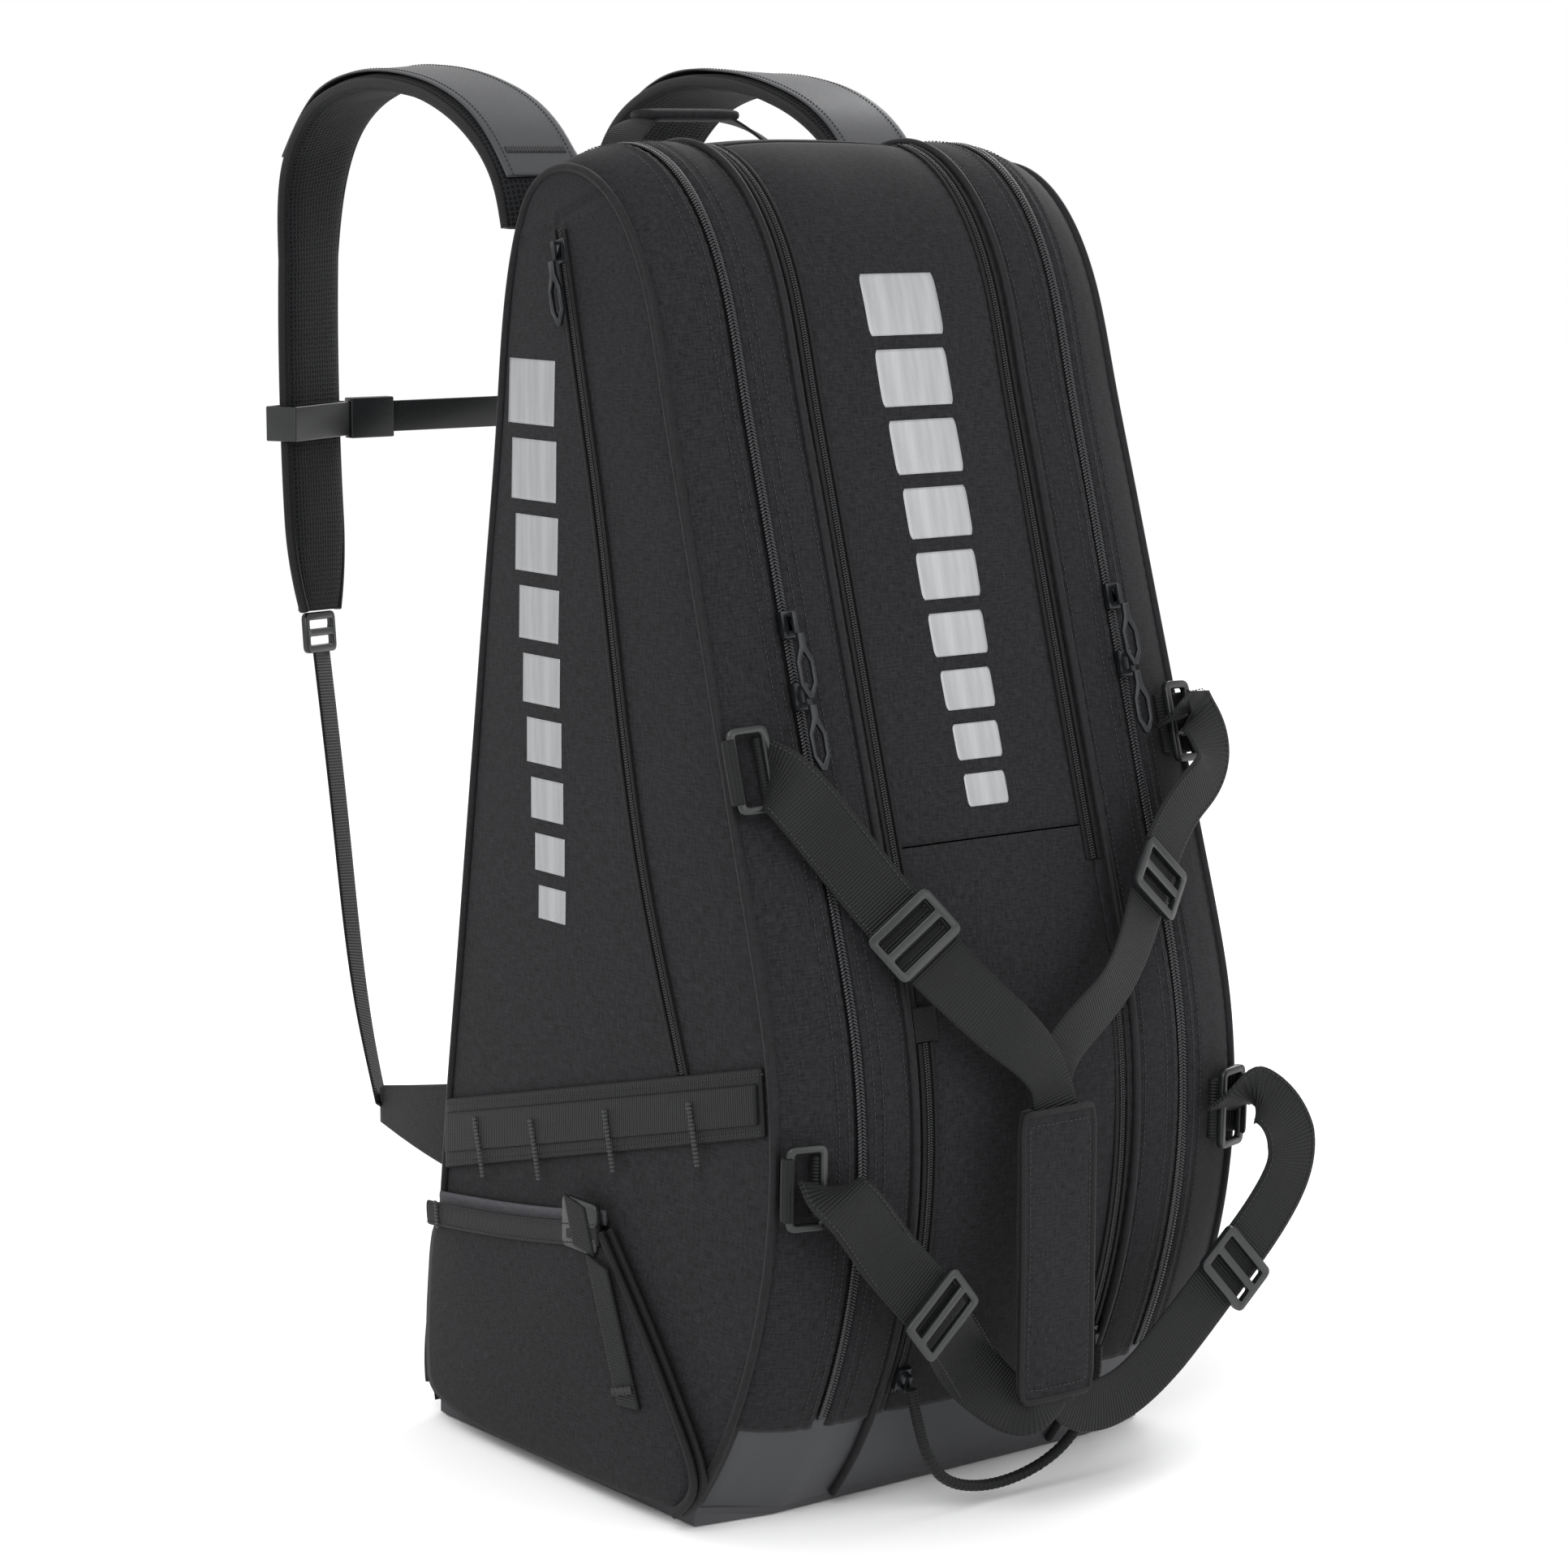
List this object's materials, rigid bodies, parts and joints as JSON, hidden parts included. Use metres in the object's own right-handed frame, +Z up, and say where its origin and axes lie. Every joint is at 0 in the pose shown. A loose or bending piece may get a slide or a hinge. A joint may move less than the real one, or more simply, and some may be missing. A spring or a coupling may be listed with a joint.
{
  "type": "racket tournament bag",
  "caption": "Tall standing racket bag with zipped compartments, wrapped duffel handles on the front and a padded backpack harness behind.",
  "frame": {"origin": "middle of the footprint, on the floor", "axes": "+Z up; the zipped front with the duffel handles faces -Y; the backpack harness is on +Y"},
  "size_m": [0.3827, 0.6236, 0.8189],
  "materials": {
    "woven": "tight plain weave, charcoal black",
    "coated": "smooth coated fabric, soft sheen",
    "mesh": "air mesh",
    "lining": "plain lining, guessed",
    "webbing": "ribbed webbing",
    "padded": "padded, bound edge",
    "zip_tape": "coil zip and piping",
    "moulded": "moulded acetal",
    "metal": "black lacquered",
    "silver": "silver print"
  },
  "bodies": {
    "bag": {"centre_shell": "woven", "base_tray": "coated", "back_panel": "woven", "back_pads": "mesh", "dividers": "lining", "zips_inner": "zip_tape", "piping_front": "zip_tape", "wings": "woven", "strap_web_left": "webbing", "strap_web_right": "webbing"},
    "centre_flap": {"centre_flap": "woven", "front_graphic": "silver"},
    "cover_left": {"cover_left": "woven", "piping_side_left": "zip_tape", "main_zip_left": "zip_tape", "side_webbing_left": "webbing", "side_zip": "zip_tape", "lower_pocket": "woven", "pocket_buckle": "moulded", "rings_left": "moulded", "side_graphic": "silver"},
    "cover_right": {"cover_right": "woven", "piping_side_right": "zip_tape", "main_zip_right": "zip_tape", "side_webbing_right": "webbing", "right_pocket": "woven", "rings_right": "moulded"},
    "handle_left": {"handle_web_left": "webbing"},
    "handle_right": {"handle_web_right": "webbing", "grip_wrap": "padded"},
    "grip_flap": {"grip_flap": "padded"},
    "slider_side": {"slider_side": "metal"},
    "pull_side": {"pull_side": "metal"},
    "lower_sliders": {"lower_sliders": "metal"},
    "pull_loop": {"pull_loop": "webbing"},
    "strap_left": {"strap_left": "mesh", "strap_patch_left": "coated", "strap_trim_left": "webbing", "strap_lock_left": "moulded"},
    "strap_right": {"strap_right": "mesh", "strap_patch_right": "coated", "strap_trim_right": "webbing", "strap_lock_right": "moulded"},
    "sternum_left": {"sternum_left": "moulded"},
    "sternum_right": {"sternum_right": "moulded"},
    "strap_ring": {"strap_ring": "moulded"},
    "haul_handle": {"haul_handle": "webbing"},
    "slider_upper_left": {"slider_upper_left": "metal"},
    "pull_upper_left": {"pull_upper_left": "metal"},
    "handle_buckle_upper_left": {"handle_buckle_upper_left": "moulded"},
    "slider_lower_left": {"slider_lower_left": "metal"},
    "pull_lower_left": {"pull_lower_left": "metal"},
    "handle_buckle_lower_left": {"handle_buckle_lower_left": "moulded"},
    "slider_upper_right": {"slider_upper_right": "metal"},
    "pull_upper_right": {"pull_upper_right": "metal"},
    "handle_buckle_upper_right": {"handle_buckle_upper_right": "moulded"},
    "slider_lower_right": {"slider_lower_right": "metal"},
    "pull_lower_right": {"pull_lower_right": "metal"},
    "handle_buckle_lower_right": {"handle_buckle_lower_right": "moulded"}
  },
  "joints": [
    {"name": "cover_left_open", "type": "hinge", "parent": "bag", "child": "cover_left", "pos_m": [-0.17047, 0.13078, 0.09755], "axis": [-0.0156, 0.1295, -0.9915], "range_deg": [0, 40]},
    {"name": "cover_right_open", "type": "hinge", "parent": "bag", "child": "cover_right", "pos_m": [0.17047, 0.13078, 0.09755], "axis": [-0.0156, -0.1295, 0.9915], "range_deg": [0, 40]},
    {"name": "centre_flap_fold", "type": "hinge", "parent": "bag", "child": "centre_flap", "pos_m": [0, -0.18401, 0.385], "axis": [1, 0, 0], "range_deg": [0, 55]},
    {"name": "handle_left_swing", "type": "hinge", "parent": "cover_left", "child": "handle_left", "pos_m": [-0.15749, -0.19465, 0.32476], "axis": [0, -0.2094, -0.9778], "range_deg": [0, 140], "deforming": ["handle_web_left"]},
    {"name": "handle_right_swing", "type": "hinge", "parent": "cover_right", "child": "handle_right", "pos_m": [0.15749, -0.19465, 0.32476], "axis": [0, 0.2094, 0.9778], "range_deg": [0, 140], "deforming": ["handle_web_right"]},
    {"name": "grip_flap_open", "type": "hinge", "parent": "handle_right", "child": "grip_flap", "pos_m": [-0.0295, -0.25162, 0.158], "axis": [0, 0, -1], "range_deg": [0, 150]},
    {"name": "slider_upper_left_slide", "type": "slide", "parent": "bag", "child": "slider_upper_left", "axis": [0, 0.2805, 0.9598], "range_m": [0, 0.135]},
    {"name": "slider_lower_left_slide", "type": "slide", "parent": "bag", "child": "slider_lower_left", "axis": [0, -0.2805, -0.9598], "range_m": [0, 0.11]},
    {"name": "pull_upper_left_lift", "type": "hinge", "parent": "slider_upper_left", "child": "pull_upper_left", "pos_m": [-0.119, -0.16234, 0.50716], "axis": [-1, 0, 0], "range_deg": [0, 110]},
    {"name": "pull_lower_left_lift", "type": "hinge", "parent": "slider_lower_left", "child": "pull_lower_left", "pos_m": [-0.119, -0.1736, 0.46866], "axis": [-1, 0, 0], "range_deg": [0, 110]},
    {"name": "slider_upper_right_slide", "type": "slide", "parent": "bag", "child": "slider_upper_right", "axis": [0, 0.2805, 0.9598], "range_m": [0, 0.135]},
    {"name": "slider_lower_right_slide", "type": "slide", "parent": "bag", "child": "slider_lower_right", "axis": [0, -0.2805, -0.9598], "range_m": [0, 0.11]},
    {"name": "pull_upper_right_lift", "type": "hinge", "parent": "slider_upper_right", "child": "pull_upper_right", "pos_m": [0.119, -0.16234, 0.50716], "axis": [-1, 0, 0], "range_deg": [0, 110]},
    {"name": "pull_lower_right_lift", "type": "hinge", "parent": "slider_lower_right", "child": "pull_lower_right", "pos_m": [0.119, -0.1736, 0.46866], "axis": [-1, 0, 0], "range_deg": [0, 110]},
    {"name": "slider_side_slide", "type": "slide", "parent": "cover_left", "child": "slider_side", "axis": [-0.0152, -0.2425, -0.97], "range_m": [0, 0.35]},
    {"name": "pull_side_lift", "type": "hinge", "parent": "slider_side", "child": "pull_side", "pos_m": [-0.17352, -0.0049, 0.70571], "axis": [-0.0038, 0.9701, -0.2425], "range_deg": [0, 110]},
    {"name": "lower_sliders_slide", "type": "hinge", "parent": "bag", "child": "lower_sliders", "pos_m": [0, 0.13298, 0.222], "axis": [-1, 0, 0], "range_deg": [0, 14]},
    {"name": "pull_loop_hang", "type": "hinge", "parent": "lower_sliders", "child": "pull_loop", "pos_m": [0, -0.2044, 0.08], "axis": [-1, 0, 0], "range_deg": [-14, 0]},
    {"name": "strap_left_swing", "type": "hinge", "parent": "bag", "child": "strap_left", "pos_m": [-0.124, 0.064, 0.724], "axis": [1, 0, 0], "range_deg": [-17, 8], "deforming": ["strap_web_left"]},
    {"name": "sternum_left_slide", "type": "slide", "parent": "strap_left", "child": "sternum_left", "axis": [0, 0, 1], "range_m": [-0.045, 0.045]},
    {"name": "strap_right_swing", "type": "hinge", "parent": "bag", "child": "strap_right", "pos_m": [0.124, 0.064, 0.724], "axis": [1, 0, 0], "range_deg": [-17, 8], "deforming": ["strap_web_right"]},
    {"name": "sternum_right_slide", "type": "slide", "parent": "strap_right", "child": "sternum_right", "axis": [0, 0, 1], "range_m": [-0.045, 0.045]},
    {"name": "strap_ring_swing", "type": "hinge", "parent": "strap_left", "child": "strap_ring", "pos_m": [-0.13113, 0.35169, 0.71409], "axis": [0.8797, 0.4732, -0.0473], "range_deg": [0, 80]},
    {"name": "haul_handle_swing", "type": "hinge", "parent": "bag", "child": "haul_handle", "pos_m": [0, 0.0625, 0.712], "axis": [1, 0, 0], "range_deg": [-70, 20]},
    {"name": "handle_buckle_upper_left_slide", "type": "slide", "parent": "handle_left", "child": "handle_buckle_upper_left", "axis": [0.5932, -0.2626, -0.761], "range_m": [-0.025, 0.025]},
    {"name": "handle_buckle_lower_left_slide", "type": "slide", "parent": "handle_left", "child": "handle_buckle_lower_left", "axis": [0.6624, -0.0671, -0.7461], "range_m": [-0.02, 0.025]},
    {"name": "handle_buckle_upper_right_slide", "type": "slide", "parent": "handle_right", "child": "handle_buckle_upper_right", "axis": [-0.586, -0.2207, -0.7797], "range_m": [-0.02, 0.025]},
    {"name": "handle_buckle_lower_right_slide", "type": "slide", "parent": "handle_right", "child": "handle_buckle_lower_right", "axis": [-0.727, 0.0513, -0.6847], "range_m": [-0.02, 0.025]}
  ],
  "couplings": [
    {"joint": "strap_right_swing", "follows": "strap_left_swing", "ratio": 1},
    {"joint": "sternum_right_slide", "follows": "sternum_left_slide", "ratio": 1},
    {"joint": "pull_loop_hang", "follows": "lower_sliders_slide", "ratio": -1}
  ]
}
